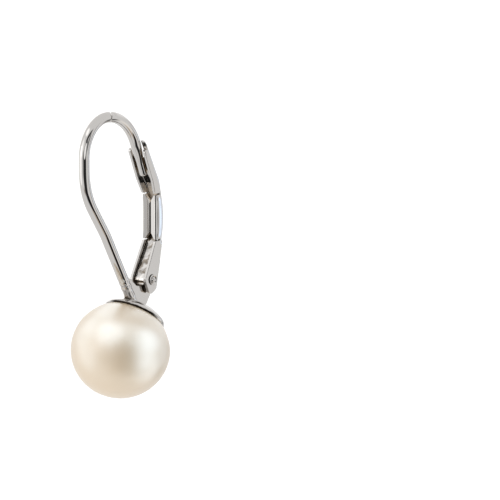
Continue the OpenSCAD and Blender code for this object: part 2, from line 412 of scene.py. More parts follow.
def warm_reflection_share(tree, place, hollow, low_mm, high_mm):
    """How much painted warm reflection lies on the channel's floor, 0.84 mm wide, between two heights.
    """
    apart = add_node(tree, "ShaderNodeSeparateXYZ", {}, {0: place})
    share = add_node(
        tree, "ShaderNodeMath", {"operation": "COMPARE"},
        {0: apart.outputs["X"], 1: 0.0, 2: 0.42 * MM},
    )
    for kind, value, low, high, at_low, at_high in (
        ("LINEAR", apart.outputs["Z"], high_mm * MM, (high_mm + 0.06) * MM, 1.0, 0.0),
        ("LINEAR", apart.outputs["Z"], low_mm * MM, (low_mm + 0.1) * MM, 0.0, 1.0),
        ("SMOOTHSTEP", hollow, 0.5, 0.8, 1.0, 0.0),
    ):
        within = add_node(
            tree, "ShaderNodeMapRange", {"interpolation_type": kind},
            {0: value, 1: low, 2: high, 3: at_low, 4: at_high},
        )
        share = add_node(
            tree, "ShaderNodeMath", {"operation": "MULTIPLY"},
            {0: share.outputs[0], 1: within.outputs[0]},
        )
    return share.outputs[0]


def buffed_normal(tree, place, dent_mm, dent_depth_mm, scratch_depth_mm):
    """Buffing leaves the surface very slightly wavy, which bends the reflections. Its polishing
    lines are finer than a pixel, so these are drawn 0.08 mm apart."""
    waves = add_node(
        tree, "ShaderNodeTexNoise", {"noise_dimensions": "3D"},
        {"Vector": place, "Scale": 1 / (dent_mm * MM), "Detail": 1.5, "Roughness": 0.4},
    )
    wavy = add_node(
        tree, "ShaderNodeBump", {},
        {"Strength": 1.0, "Distance": dent_depth_mm * MM, "Height": waves.outputs[0]},
    )
    stretched = add_node(
        tree, "ShaderNodeMapping", {}, {"Vector": place, "Scale": (1.0, 1.0, 0.12)}
    )
    lines = add_node(
        tree, "ShaderNodeTexNoise", {},
        {"Vector": stretched.outputs[0], "Scale": 1 / (0.08 * MM), "Detail": 2.0},
    )
    return add_node(
        tree, "ShaderNodeBump", {},
        {
            "Strength": 1.0, "Distance": scratch_depth_mm * MM, "Height": lines.outputs[0],
            "Normal": wavy.outputs[0],
        },
    ).outputs[0]


def cream_nacre():
    """Nacre, grown in thin layers round a bead: a warm body under a broad, soft, cooler lustre."""
    material, tree, shader = new_material("nacre_grown_cream")
    nacre = (*bpy.context.scene.earring_colours.nacre, 1)
    place = add_node(tree, "ShaderNodeTexCoord").outputs["Object"]
    # The body colour drifts a little over 3 mm, from cream to a faint peach.
    drift = add_node(
        tree, "ShaderNodeTexNoise", {}, {"Vector": place, "Scale": 1 / (3.0 * MM), "Detail": 1.0}
    )
    tint = add_node(
        tree, "ShaderNodeMix", {"data_type": "RGBA"},
        {0: drift.outputs[0], 6: nacre, 7: (*linear("D0B998"), 1)},
    )
    # Growth leaves shallow unevenness about 1.6 mm wide.
    growth = add_node(
        tree, "ShaderNodeTexNoise", {}, {"Vector": place, "Scale": 1 / (1.6 * MM), "Detail": 2.0}
    )
    uneven = add_node(
        tree, "ShaderNodeBump", {},
        {"Strength": 1.0, "Distance": 0.006 * MM, "Height": growth.outputs[0]},
    )
    # The layers mirror light more strongly than one surface would, so the coat's IOR is high.
    set_inputs(tree, shader, {
        "Base Color": tint.outputs[2], "Roughness": 0.42, "IOR": 1.53,
        "Coat Weight": 1.0, "Coat Roughness": 0.387, "Coat IOR": 2.5,
        "Normal": uneven.outputs[0], "Coat Normal": uneven.outputs[0],
    })
    return material


# Ear wire

# The wire's middle at the crown, in Y and Z, and the bow's radius behind it
CROWN, BOW_R = np.array([0, 0.45]), 4.4
# The straight at the tip, how soon it is slim, and the rounding of its end
TIP_LEN, TIP_TAPER, TIP_EDGE = 3, 1.8, 0.2
# The runs from the crown: a length for a straight, a radius and a turn for a bend.
FRONT_RUNS = [(0, 3.05, 90), (0.9, 0, 0), (0, 5.7, 36.5), (2.5, 0, 0), (0, 8, -5.3), (6.9, 0, 0)]
REAR_RUNS = [(0, BOW_R, -66.8), (TIP_LEN, 0, 0)]
# How far apart the rings of points are. Finer rings at the back hold the nick and the cut.
FRONT_STEP, REAR_STEP = 0.08, 0.025


def wire_line(runs, heading, step):
    """Places along the runs, each with its heading: from straight down, growing to the back."""
    place = CROWN.copy()
    line = [(place, heading)]
    for length, radius, turn in runs:
        count = max(2, round((length or abs(math.radians(turn)) * radius) / step))
        start = place
        for share in np.linspace(0, 1, count + 1)[1:]:
            if turn:
                side = math.copysign(radius, turn)
                a, b = math.radians(heading), math.radians(heading + turn * share)
                place = start + side * np.array(
                    [math.cos(a) - math.cos(b), math.sin(a) - math.sin(b)]
                )
            else:
                place = start + share * length * ahead(heading)
            line.append((place, heading + turn * share))
        heading += turn
    return line


def ahead(heading):
    """The direction of a heading, in Y and Z."""
    a = math.radians(heading)
    return np.array([math.sin(a), -math.cos(a)])


def wire_path(wire_r, tip_r):
    """Places, headings and radii along the wire, from its end in the cup over the crown to its
    blunt tip."""
    front = wire_line(FRONT_RUNS, -90, FRONT_STEP)
    rear = wire_line(REAR_RUNS, 90, REAR_STEP)
    path = [(place, heading + 180, wire_r) for place, heading in reversed(front)]
    tip_from = len(rear) - 1 - round(TIP_LEN / REAR_STEP)
    for i, (place, heading) in enumerate(rear[1:], 1):
        slim = eased((i - tip_from) * REAR_STEP / TIP_TAPER)
        path.append((place, heading, wire_r + (tip_r - wire_r) * slim))
    # The tip's edge is rounded, in place of the last rings of the straight.
    end, heading, _ = path[-1]
    back = -ahead(heading)
    path = [
        ring for ring in path
        if ring[1] != heading or (ring[0] - end) @ back > TIP_EDGE + REAR_STEP / 2
    ]
    for a in np.radians(np.linspace(0, 90, 9)):
        place = end + back * TIP_EDGE * (1 - math.sin(a))
        path.append((place, heading, tip_r - TIP_EDGE * (1 - math.cos(a))))
    path.append((end, heading, 0))
    return path


def wire_rings(path, around=48):
    """Points round each place of the path, and their numbers ring by ring."""
    verts, rings = [], []
    for place, heading, radius in path:
        if radius == 0:
            rings.append([len(verts)])
            verts.append((0, *place))
            continue
        rings.append(list(range(len(verts), len(verts) + around)))
        across = ahead(heading + 90)
        for a in np.arange(around) * 2 * math.pi / around:
            verts.append((radius * math.sin(a), *(place + radius * math.cos(a) * across)))
    return np.array(verts), rings


def swell_foot(verts, rings):
    """The heat of soldering left the foot of the wire a little uneven, in irregular waves."""
    foot_top, foot_len, swelling = -12.6, 1.2, 0.04
    for n, ring in enumerate(rings):
        middle = verts[ring].mean(axis=0)
        heat = min(1, max(0, (foot_top - middle[2]) / foot_len))
        wave = math.sin(0.7 * n + 1.5 * math.sin(0.23 * n))
        verts[ring] = middle + (verts[ring] - middle) * (1 + swelling * heat * wave)


def nick_and_cut(verts, wire_r, nick_depth):
    """Presses a shallow dip into the crown, 9 degrees behind its top. A fine cut runs round the wire
    from the dip's front end, wavering a little."""
    tilt = math.radians(9)
    nick_len, nick_squareness = 0.56, 0.4
    cut_at, cut_slant, cut_depth, cut_half = -0.26, 0.6, 0.2, 0.09
    x, y, z = verts[:, 0], verts[:, 1], verts[:, 2] - (CROWN[1] - BOW_R)
    on_bow = z > 0
    along = y * math.cos(tilt) - z * math.sin(tilt)
    up = y * math.sin(tilt) + z * math.cos(tilt)
    dip = nick_depth * np.cos(np.clip(along / nick_len, -0.5, 0.5) * math.pi) ** nick_squareness
    surface = BOW_R + wire_r - dip
    in_nick = on_bow & (np.abs(along) < nick_len / 2) & (up > surface)
    shift = np.where(in_nick, surface - up, 0)
    middle = np.sqrt(np.maximum(0, BOW_R ** 2 - along ** 2))
    wavering = 0.02 * np.sin(5 * np.arctan2(x, up - middle))
    seam = cut_at - cut_slant * np.abs(x) + wavering
    slope = np.clip(1.2 - np.abs(along - seam) / cut_half, 0, 1)
    deep = np.where(on_bow, cut_depth * slope, 0) / wire_r
    shift += deep * (middle - up)
    verts[:, 0] *= 1 - deep
    verts[:, 1] += shift * math.sin(tilt)
    verts[:, 2] += shift * math.cos(tilt)


class EARRING_OT_ear_wire(bpy.types.Operator):
    """Bend the ear wire and solder it to the cup"""

    bl_idname = "earring.ear_wire"
    bl_label = "Ear Wire"

    def execute(self, context):
        sizes = context.scene.earring_wire
        wire_r, tip_r = sizes.wire_d / 2 / MM, sizes.tip_d / 2 / MM
        verts, rings = wire_rings(wire_path(wire_r, tip_r))
        faces = ring_faces(rings)
        faces.append(tuple(reversed(rings[0])))
        swell_foot(verts, rings)
        nick_and_cut(verts, wire_r, sizes.nick_depth / MM)
        polished = rhodium_on_silver(
            "rhodium_plate_buffed", roughness=0.045, dent_mm=1.4, dent_depth_mm=0.008
        )
        add_piece(
            "ear_wire", clear_of_pearl(verts), faces, polished, "hook", sharp=50
        )
        return {"FINISHED"}


# Hinge plate and cup

# The plate's outline in Y and Z: from the wire's foot back along its upper edge, round the lug of
# the rivet, down its back, and forward again along the cup.
PLATE_OUTLINE = [
    (2.1, -12.9), (2.45, -13.02), (3.68, -13.92), (4.5, -14.04), (4.66, -13.85), (4.93, -13.45),
    (5.1, -13.24), (5.3, -13.2), (5.5, -13.25), (5.66, -13.41), (5.71, -13.6), (5.68, -13.8),
    (5.61, -14.93), (4.95, -15.78), (4.4, -16.02), (3.3, -15.28), (2.6, -14),
]


def bore_outline(radius, steps):
    return arc((HINGE.y, HINGE.z), radius, 0, 360, steps)[:-1]


def flat_plate(name, outlines, thickness, edge):
    """A mesh of a flat plate with rounded edges, from closed outlines in Y and Z. The first is its
    outside and the others are holes."""
    curve = bpy.data.curves.new(name, "CURVE")
    curve.dimensions = "2D"
    curve.fill_mode = "BOTH"
    curve.extrude = thickness / 2 - edge
    curve.bevel_depth = edge
    curve.bevel_resolution = 3
    curve.offset = -edge
    for outline in outlines:
        spline = curve.splines.new("POLY")
        spline.points.add(len(outline) - 1)
        spline.use_cyclic_u = True
        for point, (y, z) in zip(spline.points, outline):
            point.co = (y, z, 0, 1)
    holder = bpy.data.objects.new(name, curve)
    bpy.context.scene.collection.objects.link(holder)
    graph = bpy.context.evaluated_depsgraph_get()
    mesh = bpy.data.meshes.new_from_object(holder.evaluated_get(graph))
    verts = [(v.co.z, v.co.x, v.co.y) for v in mesh.vertices]
    faces = [tuple(p.vertices) for p in mesh.polygons]
    bpy.data.objects.remove(holder)
    bpy.data.curves.remove(curve)
    bpy.data.meshes.remove(mesh)
    return verts, faces


def cup_profile(wall, half_angle, peg_r, peg_len, pearl_r):
    """Distances along the cup's axis from the pearl's middle, and radii: the outside from the pole
    to the rim, the rounded lip, the inside, and the peg."""
    lip_angle, lip_edge_angle, floor_angle = 5.5, 0.6, 9
    slope, chamfer = 0.06, 0.05
    inside, outside = GLUE_R, GLUE_R + wall
    shoulder = half_angle - lip_angle
    points = arc((0, 0), outside, 0, shoulder, 27)
    # The lip bends down to the pearl over the last few degrees.
    for t in np.radians(np.linspace(0, 90, 12))[1:]:
        a = math.radians(shoulder + lip_angle * math.sin(t))
        r = inside + wall * math.cos(t)
        points.append((r * math.cos(a), r * math.sin(a)))
    points += arc((0, 0), inside, half_angle - lip_edge_angle, floor_angle, 15)
    # A small slope leads from the cup's floor to the peg.
    root = math.sqrt(inside ** 2 - (peg_r + slope) ** 2)
    for a in np.radians([0, 30, 60, 90]):
        points.append((root - slope * math.sin(a), peg_r + slope * (1 - math.sin(a))))
    end = pearl_r - peg_len
    points += [(end + chamfer, peg_r), (end, peg_r - chamfer), (end, 0)]
    return points


class EARRING_OT_cup_and_plate(bpy.types.Operator):
    """Turn the pearl's cup with its peg, and cut the hinge plate that stands on it"""

    bl_idname = "earring.cup_and_plate"
    bl_label = "Cup and Hinge Plate"

    def execute(self, context):
        sizes = context.scene.earring_cup
        pearl_r = context.scene.earring_pearl.diameter / 2 / MM
        peg_r, peg_len, rim_mid = 0.4, 3.0, 0.17
        # The cup gets a painted black line of shadow just below its rim.
        polished = rhodium_on_silver(
            "rhodium_plate_turned_cup", roughness=0.045, dent_mm=1.6, dent_depth_mm=0.0012,
            rim_shadow_mm=float(PEARL_MID @ CUP_AXIS) + (GLUE_R + rim_mid) * math.cos(sizes.half_angle),
        )
        profile = cup_profile(
            sizes.thickness / MM, math.degrees(sizes.half_angle), peg_r, peg_len, pearl_r
        )
        verts, faces = turned(profile, PEARL_MID, CUP_AXIS, 128)
        cup = add_piece("pearl_cup", verts, faces, polished, "hook")
        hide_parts("ear_hook")

        satin = rhodium_on_silver(
            "rhodium_plate_stamped", roughness=0.1, dent_mm=2.2, dent_depth_mm=0.0015,
            scratch_depth_mm=0.0004,
        )
        corner_r, bore_r, edge = 0.1, 0.27, 0.06
        outlines = [rounded(PLATE_OUTLINE, corner_r), bore_outline(bore_r, 40)]
        verts, faces = flat_plate("hinge_plate", outlines, sizes.plate_t / MM, edge)
        plate = add_piece(
            "hinge_plate", clear_of_pearl(verts), faces, satin, "hook"
        )
        add_modifier(plate, "WEIGHTED_NORMAL", keep_sharp=True)
        return {"FINISHED"}


# Lever

# Heights above the hinge axis, and half widths
LOWER_BEND, UPPER_BEND = 3.23, 6.94
SLIT_H = 0.12
FLARE_TOP, TOP_MIDDLE = 8.3, 10.93
NOTCH_HALF, NOTCH_MIDDLE = 0.45, 10.63
FOOT_TOP, FORK_FOOT, CHEEK_FLOOR = 1.0, 9.5, 10.35
# The back in Y and Z: its place at the hinge, its leans below and above, and the arc between them
BACK_AT_HINGE, BACK_LEAN, TOP_LEAN = 0.78, math.radians(14.6), math.radians(-28.4)
BACK_MIDDLE, BACK_R = np.array([-4.7856, 5.0149]), 6.65
# The crease between cheek and flap: its slope, a point of the flap's outer face in X and Y, and
# its outer radius. All bends have the same inner radius.
CREASE, CREASE_AT, CREASE_R, INNER_R = math.atan2(0.17, 0.58), (0.63, 0.6), 0.14, 0.04
# How far pressing crowns the faces, the gap from the fold to the slit's end, and the height over
# which the fold straightens below the lower bend
CROWNING, SLIT_FROM_FOLD, STRAIGHTEN_OVER = 0.035, 0.06, 0.33
# The seam between the flaps: half its gap, and how far and how high its corners flare
SEAM_HALF, SEAM_FLARE, SEAM_CORNER = 0.05, 0.42, 0.5
# The power in the fork's round outline. A circle has 2, and this is a little squarer.
FORK_POWER = 2.7

# Where the cheeks' front edge is and how wide the lever is, at some heights
FRONT_HEIGHTS = [0.16, 3.08, 6.94, 10.13, 10.74]
FRONT_DEPTHS = [-0.99, 0.6, 0.6, -0.83, -1.06]
WIDTH_HEIGHTS = [0.2, LOWER_BEND, UPPER_BEND, FLARE_TOP]
HALF_WIDTHS = [0.8, 0.7, 0.7, 0.87]
# Cut edges of the cheek in depth and height: round its foot, and at its top
FOOT_LINE = [
    (0.574, -0.791), (0.3, -1), (-0.2, -1.19), (-0.51, -1.01), (-0.96, -0.09), (-0.99, 0.16)
]
CHEEK_TOP = [(-0.94, 10.98), (-1.09, 10.76)]


def back_at(z):
    """How far behind the hinge axis the lever's back is at a height, and its slope there."""
    low = BACK_MIDDLE[1] - BACK_R * math.sin(BACK_LEAN)
    high = BACK_MIDDLE[1] - BACK_R * math.sin(TOP_LEAN)
    if z < low:
        return BACK_AT_HINGE + z * math.tan(BACK_LEAN), BACK_LEAN
    if z > high:
        start = BACK_MIDDLE[0] + BACK_R * math.cos(TOP_LEAN)
        return start + (z - high) * math.tan(TOP_LEAN), TOP_LEAN
    lean = math.asin((BACK_MIDDLE[1] - z) / BACK_R)
    return BACK_MIDDLE[0] + BACK_R * math.cos(lean), lean


def front_at(z):
    return float(np.interp(z, FRONT_HEIGHTS, FRONT_DEPTHS))


def half_width_at(z):
    return float(np.interp(z, WIDTH_HEIGHTS, HALF_WIDTHS))


def along_line(points, shares):
    """Places along a polyline at shares of its length."""
    points = np.array(points, float)
    steps = np.linalg.norm(np.diff(points, axis=0), axis=1)
    far = np.concatenate([[0], np.cumsum(steps)]) / steps.sum()
    return np.stack([np.interp(shares, far, points[:, i]) for i in range(points.shape[1])], axis=1)


def inside_flap(z):
    """How far a height is inside the stretch with the flaps."""
    return min(z - LOWER_BEND, UPPER_BEND - z)


def crease_bend(x, depth):
    """The middle of a bend at the crease, at that depth under the flap's outer face."""
    y = CREASE_AT[1] + (CREASE_AT[0] - x) * math.tan(CREASE)
    return np.array([x, y + depth / math.cos(CREASE)])


class LeverGrid:
    """One half of the folded sheet as a grid: rows go up, and columns run from the middle of the
    web round the fold and forward over the cheek, and then round the crease and over the flap."""

    # How many columns each stretch has
    NOTCH = 4
    FORK = 2
    FOLD = 6
    CHEEK = 8
    ROUND = 4
    FLAP = 4

    def __init__(self, sheet_t, fold_r):
        self.t, self.r = sheet_t, fold_r
        web = self.NOTCH + self.FORK
        self.fold_from, self.fold_to = web, web + self.FOLD
        self.slit_column = self.fold_to + 1
        self.front_column = self.slit_column + self.CHEEK
        self.rows = self.row_plan()

    def row_plan(self):
        """Each row's kind and height: foot, cheeks, slit, flap, slit, flare, notch, fork."""
        rows = [("foot", v) for v in np.linspace(0, 1, 6)[:-1]]
        rows += [("open", z) for z in np.linspace(FOOT_TOP, 2.5, 6)]
        rows += [("open", z) for z in (2.7, 2.9, LOWER_BEND - SLIT_H)]
        rows += [("slit", LOWER_BEND)]
        rows += [("flap", z) for z in (3.48, 3.73)]
        rows += [("flap", z) for z in np.linspace(3.73, 6.44, 12)[1:]]
        rows += [("flap", z) for z in (6.69, UPPER_BEND)]
        rows += [("slit", UPPER_BEND + SLIT_H)]
        rows += [("closed", z) for z in np.linspace(UPPER_BEND + SLIT_H, FORK_FOOT, 11)[1:]]
        rows += [("notch", v) for v in np.linspace(0, 1, 4)[1:]]
        rows += [("fork", v) for v in np.linspace(0, 1, 5)[1:]]
        return rows

    def is_on(self, row, column):
        """Whether the cell above that row and outside that column is sheet."""
        kind, at = self.rows[row + 1]
        if column >= self.front_column:
            return kind == "flap"
        if column < self.fold_to and (kind in ("foot", "open") or (kind, at) == ("slit", LOWER_BEND)):
            return column >= self.fold_from
        if column < self.NOTCH and kind == "fork":
            return False
        return column < self.slit_column or kind != "slit"

    def section(self, z, straight=0.0, flap_end=SEAM_HALF):
        """Outer and inner places of all columns on a level cut, as X and Y. The fold is straightened
        by a share, and the flap ends at a distance from the middle."""
        w, t, r = half_width_at(z), self.t, self.r
        back, lean = back_at(z)
        outer = self.web_and_fold(w, w, back, r, back, straight)
        inner = self.web_and_fold(w, w - t, back - t / math.cos(lean), INNER_R, back, straight)
        has_flap = LOWER_BEND - 1e-6 <= z <= UPPER_BEND + 1e-6
        outer_bend = crease_bend(w - CREASE_R, CREASE_R)
        inner_bend = crease_bend(w - t - INNER_R, t + INNER_R)
        # Pressing leaves the cheek and the flap of the middle a little crowned.
        crown = CROWNING * float(np.clip(inside_flap(z) / SEAM_CORNER, 0, 1))
        slit_y = back - r - SLIT_FROM_FOLD
        front = outer_bend[1] if has_flap else front_at(z)
        for share in np.linspace(0, 1, self.CHEEK + 1):
            y = slit_y + share * (front - slit_y)
            outer.append((w + crown * math.sin(math.pi * share ** 1.5), y))
            inner.append((w - t, y))
        if has_flap:
            inner[self.front_column] = (w - t, inner_bend[1])
        for a in np.linspace(0, math.pi / 2 - CREASE, self.ROUND + 1)[1:]:
            turn = np.array([math.cos(a), -math.sin(a)])
            outer.append(tuple(outer_bend + CREASE_R * turn))
            inner.append(tuple(inner_bend + INNER_R * turn))
        for line, swell in ((outer, crown / 2), (inner, 0)):
            start = np.array(line[-1])
            stop = np.array([flap_end, start[1] + (start[0] - flap_end) * math.tan(CREASE)])
            for share in np.linspace(0, 1, self.FLAP + 1)[1:]:
                x, y = start + share * (stop - start)
                line.append((x, y - swell * math.sin(math.pi * share)))
        return np.array(outer), np.array(inner)

    def web_and_fold(self, w, side, web_y, bend_r, back, straight):
        """One face of the sheet, from the middle of the web round the fold to the cheek. Below the
        web the sheet of each cheek runs straight to its back edge."""
        notch = NOTCH_HALF * np.sin(np.radians(np.linspace(0, 90, self.NOTCH + 1)))
        web = [*notch, *np.linspace(NOTCH_HALF, w - self.r, self.FORK + 1)[1:]]
        line = [(x, web_y) for x in web]
        for n, a in enumerate(np.radians(np.linspace(90, 0, self.FOLD + 1))[1:], 1):
            middle = np.array([side - bend_r, web_y - bend_r])
            bent = middle + bend_r * np.array([math.cos(a), math.sin(a)])
            flat = np.array([side, back - self.r * n / self.FOLD])
            line.append(tuple(bent + straight * (flat - bent)))
        here = np.array(line[self.fold_from])
        line[self.fold_from] = tuple(here + straight * (np.array([side, back]) - here))
        return line

    def level(self, z, **shape):
        outer, inner = self.section(z, **shape)
        height = np.full((len(outer), 1), z)
        return np.hstack([outer, height]), np.hstack([inner, height])

    def foot_row(self, v):
        """A row between the rounded foot and the first level row."""
        upper = self.level(FOOT_TOP, straight=1.0)
        shares = (upper[0][:, 1] - upper[0][self.fold_from, 1]) / (
            front_at(FOOT_TOP) - upper[0][self.fold_from, 1]
        )
        foot = along_line(FOOT_LINE, np.clip(shares, 0, 1))
        rows = []
        for side, x in zip(upper, (HALF_WIDTHS[0], HALF_WIDTHS[0] - self.t)):
            low = np.column_stack([np.full(len(foot), x), foot])
            rows.append(low + v * (side - low))
        return rows

    def top_row(self, kind, v):
        """A row between the last level row and the notch's floor, or on up to the fork's end."""
        lower = self.level(FORK_FOOT)
        w, r = half_width_at(TOP_MIDDLE), self.r
        x = lower[0][:, 0]
        notch = NOTCH_MIDDLE - np.sqrt(np.maximum(0, NOTCH_HALF ** 2 - x ** 2))
        floor = np.where(x < NOTCH_HALF, notch, NOTCH_MIDDLE)
        # The fork's arms end on the round outline.
        end = TOP_MIDDLE + np.maximum(0, w ** FORK_POWER - x ** FORK_POWER) ** (1 / FORK_POWER)
        shares = np.linspace(0, 1, self.front_column - self.fold_to + 1)
        tops = along_line([(back_at(TOP_MIDDLE)[0] - r, TOP_MIDDLE), *CHEEK_TOP], shares)
        cheek_floor = along_line(
            [(back_at(CHEEK_FLOOR)[0] - r, CHEEK_FLOOR), (front_at(CHEEK_FLOOR), CHEEK_FLOOR)], shares
        )
        rows = []
        for low in lower:
            high = low.copy()
            for j in range(self.fold_to + 1):
                z_floor = floor[j] if j < self.fold_from else NOTCH_MIDDLE
                z = low[j, 2] + v * (z_floor - low[j, 2])
                if kind == "fork":
                    z = z_floor + v * (end[j] - z_floor)
                high[j, 2] = z
                high[j, 1] = low[j, 1] + back_at(z)[0] - back_at(low[j, 2])[0]
            for n, j in enumerate(range(self.fold_to + 1, self.front_column + 1), 1):
                goal = tops[n] if kind == "fork" else cheek_floor[n]
                start = cheek_floor[n] if kind == "fork" else low[j, 1:]
                high[j, 1:] = start + v * (goal - start)
            high[self.front_column + 1:] = high[self.front_column]
            rows.append(high)
        return rows

    def places(self):
        """Outer and inner places of the whole grid, as arrays of rows, columns and X, Y, Z."""
        outer, inner = [], []
        for kind, at in self.rows:
            if kind == "foot":
                pair = self.foot_row(at)
            elif kind in ("notch", "fork"):
                pair = self.top_row(kind, at)
            else:
                straight = float(np.clip((LOWER_BEND - at) / STRAIGHTEN_OVER, 0, 1))
                closed = float(np.clip(inside_flap(at) / SEAM_CORNER, 0, 1))
                flap_end = SEAM_FLARE - (SEAM_FLARE - SEAM_HALF) * closed
                pair = self.level(at, straight=straight, flap_end=flap_end)
            outer.append(pair[0])
            inner.append(pair[1])
        return np.array(outer), np.array(inner)


def folded_sheet(sheet_t, fold_r):
    """Points and faces of the lever's sheet, both halves."""
    grid = LeverGrid(sheet_t, fold_r)
    outer, inner = grid.places()
    rows, columns = outer.shape[:2]
    count = rows * columns
    right = np.concatenate([outer.reshape(-1, 3), inner.reshape(-1, 3)])
    cells = [
        (i, j) for i in range(rows - 1) for j in range(columns - 1) if grid.is_on(i, j)
    ]
    on = set(cells)
    faces = []
    for i, j in cells:
        a = i * columns + j
        b, c, d = a + 1, a + columns + 1, a + columns
        faces.append((a, d, c, b))
        faces.append((a + count, b + count, c + count, d + count))
        # A side with no sheet beside it gets a cut edge, apart from the middle of the web.
        for (u, v), beside in (
            ((a, b), (i - 1, j)), ((b, c), (i, j + 1)), ((c, d), (i + 1, j)), ((d, a), (i, j - 1))
        ):
            if beside not in on and beside[1] >= 0:
                faces.append((u, v, v + count, u + count))
    left = right * [-1, 1, 1]
    verts = np.concatenate([right, left])
    faces += [tuple(n + len(right) for n in reversed(f)) for f in faces]
    verts = verts + np.array([0, HINGE.y, HINGE.z])
    return welded(verts, faces)


def welded(verts, faces, reach=1e-4):
    """The same mesh with points at one place joined, unused points dropped and empty faces left out."""
    keys = {}
    number = []
    kept = []
    for v in np.asarray(verts):
        key = tuple(np.round(v / reach).astype(int))
        if key not in keys:
            keys[key] = len(kept)
            kept.append(v)
        number.append(keys[key])
    made = []
    for f in faces:
        loop = [number[n] for n in f]
        loop = [n for k, n in enumerate(loop) if n != loop[k - 1]]
        if len(loop) > 2:
            made.append(tuple(loop))
    used = sorted({n for f in made for n in f})
    new = {n: k for k, n in enumerate(used)}
    return [kept[n] for n in used], [tuple(new[n] for n in f) for f in made]


def spring_leaf(thickness):
    """Points and faces of the spring leaf, a strip that slims a little as it leans to the back."""
    lean = math.radians(30.4)
    along = np.array([math.sin(lean), math.cos(lean)])
    back = np.array([math.cos(lean), -math.sin(lean)])
    start, length, side_gap = np.array([-0.83, 0.02]), 4.75, 0.31
    edge, steps = 0.05, 24
    verts, rings = [], []
    for n in range(steps + 1):
        place = start + length * n / steps * along
        half = half_width_at(place[1]) - side_gap
        trim = edge if n in (0, steps) else 0
        corners = [
            (-half + trim, trim), (half - trim, trim), (half - trim, thickness - trim),
            (-half + trim, thickness - trim),
        ]
        ring = [(x, *(place + y * back)) for x, y in rounded(corners, edge, 3)]
        rings.append(list(range(len(verts), len(verts) + len(ring))))
        verts += ring
    faces = ring_faces(rings)
    faces += [tuple(reversed(rings[0])), tuple(rings[-1])]
    verts = np.array(verts) + np.array([0, HINGE.y, HINGE.z])
    return verts, faces


def mark_sheet_edges(mesh):
    """Marks the sheet's cut edges for rounding. The tight bends at the slits have less room for it,
    and the slits' inner corners and the inside of the fork's top have none."""
    sharpest_bend, at_slit = math.radians(50), 0.4
    slit_from_x, cheek_from_x = 0.35, 0.5
    fork_from_x, fork_to_x = 0.56, 0.62
    shape = bmesh.new()
    shape.from_mesh(mesh)
    marks = mesh.attributes.new("bevel_weight_edge", "FLOAT", "EDGE")
    for edge in shape.edges:
        if len(edge.link_faces) < 2 or edge.calc_face_angle() < sharpest_bend:
            continue
        middle = (edge.verts[0].co + edge.verts[1].co) / 2 / MM
        up, side = middle.z - HINGE.z, abs(middle.x)
        weight = 1.0
        if up > TOP_MIDDLE - 0.1 and fork_from_x < side < fork_to_x:
            weight = 0.0
        elif side > slit_from_x and min(abs(up - LOWER_BEND), abs(up - UPPER_BEND)) < 0.01:
            weight = at_slit if side > cheek_from_x else 0.0
        marks.data[edge.index].value = weight
    shape.free()


class EARRING_OT_lever(bpy.types.Operator):
    """Fold the lever from sheet and set its spring leaf"""

    bl_idname = "earring.lever"
    bl_label = "Lever"

    def execute(self, context):
        sizes = context.scene.earring_lever
        verts, faces = folded_sheet(sizes.sheet_t / MM, sizes.fold_r / MM)
        # The channel's floor gets a painted warm reflection between two heights.
        pressed = rhodium_on_silver(
            "rhodium_plate_pressed_sheet", roughness=0.07, dent_mm=1.3, dent_depth_mm=0.0016,
            scratch_depth_mm=0.0003, reflection_patch_mm=(-7.4, -5.75),
        )
        sheet = add_piece("lever_sheet", verts, faces, pressed, "lever")
        mark_sheet_edges(sheet.data)
        add_modifier(
            sheet, "BEVEL", width=sizes.edge_r, segments=3, limit_method="WEIGHT",
            use_clamp_overlap=False,
        )
        # The bevel leaves a few double points, and joining them closes the mesh.
        add_modifier(sheet, "WELD", merge_threshold=0.0001 * MM)
        add_modifier(sheet, "WEIGHTED_NORMAL", keep_sharp=True)
        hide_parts("lever")

        rolled = rhodium_on_silver(
            "rhodium_plate_rolled_strip", roughness=0.12, dent_mm=0.45, dent_depth_mm=0.06,
            stain=0.8,
        )
        verts, faces = spring_leaf(sizes.leaf_t / MM)
        leaf = add_piece("lever_spring_leaf", verts, faces, rolled, "lever")
        add_modifier(leaf, "WEIGHTED_NORMAL", keep_sharp=True)
        return {"FINISHED"}


# Rivet


def peened_head(radius, height):
    """The profile of a head: a rounded edge, a shallow ring left by the punch, and a dome."""
    edge = [(0, 0.03), (0.03, 0), (0.07, 0.01), (0.11, 0.04)]
    punched = [(0.12, 0.07), (0.1, 0.11), (0.05, 0.15), (0.03, 0.18)]
    dome_from, dome_r = 0.03, 0.26
    head = [(along, radius - inward) for along, inward in edge + punched]
    for a in np.radians(np.linspace(12, 90, 10)):
        head.append((dome_from + (height - dome_from) * math.sin(a), dome_r * math.cos(a)))
    head[-1] = (height, 0)
    return head


class EARRING_OT_hinge_rivet(bpy.types.Operator):
    """Turn the hinge rivet with its two domed heads"""

    bl_idname = "earring.hinge_rivet"
    bl_label = "Hinge Rivet"

    def execute(self, context):
        pin_r, pin_from, chamfer = 0.24, 0.4, 0.02
        head_r, head_from, head_h = 0.45, 0.82, 0.2
        half = [(pin_from, pin_r), (head_from - chamfer, pin_r), (head_from, pin_r + chamfer)]
        half += [(head_from + x, r) for x, r in peened_head(head_r, head_h)]
        profile = [(-x, r) for x, r in reversed(half)] + half
        verts, faces = turned(profile, HINGE, (1, 0, 0), 48)
        polished = bpy.data.materials["rhodium_plate_buffed"]
        rivet = add_piece("hinge_rivet_pin", verts, faces, polished, "lever")
        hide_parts("hinge_rivet")
        return {"FINISHED"}


# Pearl


